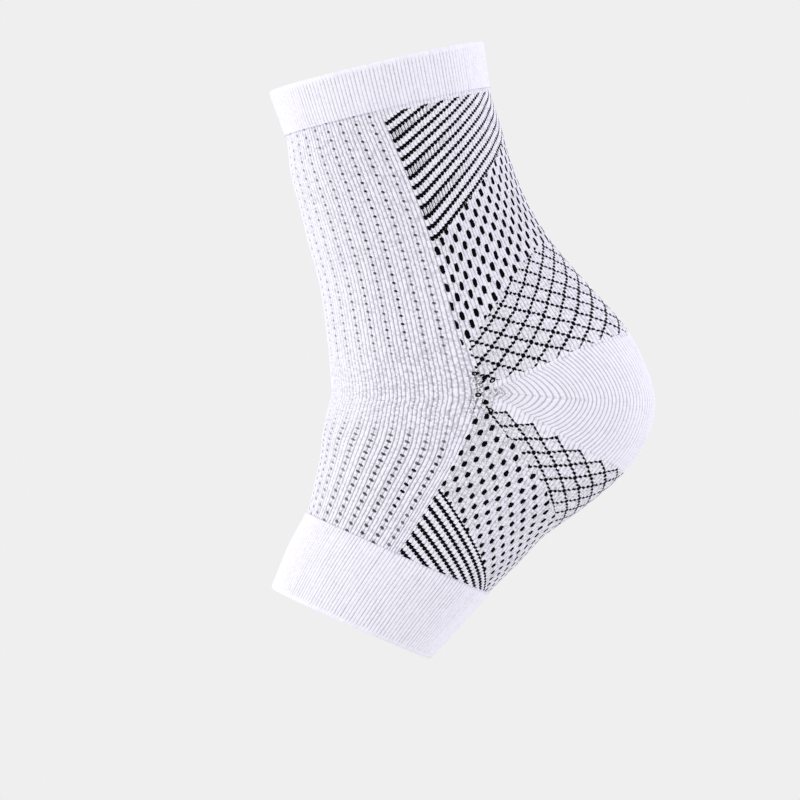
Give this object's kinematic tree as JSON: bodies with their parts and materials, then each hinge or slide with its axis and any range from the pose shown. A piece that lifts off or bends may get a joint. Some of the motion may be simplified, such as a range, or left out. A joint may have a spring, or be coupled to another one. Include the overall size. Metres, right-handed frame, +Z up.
{
  "type": "ankle compression sleeve",
  "caption": "Open-toe knitted ankle compression sleeve in its worn form, with ribbed cuffs, a zoned black and white knit and a shaped heel pocket.",
  "frame": {"origin": "the ankle point: the middle of the tube at the height where the heel gore starts, between the ankle bones", "axes": "+Z up the leg, square to the leg rim; +X to the heel, -X to the toes; Y from side to side"},
  "size_m": [0.1564, 0.0768, 0.2206],
  "materials": {
    "cuff_rib": "doubled elastic rib knit, matt white",
    "speckled_knit": "fine white rib knit with rows of small dark stitches, matt",
    "patterned_knit": "white knit with black stripes, dashes and a diamond net, matt",
    "plain_knit": "plain white rib knit, matt"
  },
  "bodies": {
    "root": {"leg_cuff": "cuff_rib", "front_panel": "speckled_knit", "back_panel": "patterned_knit", "heel_cup": "plain_knit", "sole_panel": "patterned_knit", "foot_cuff": "cuff_rib"}
  },
  "joints": []
}
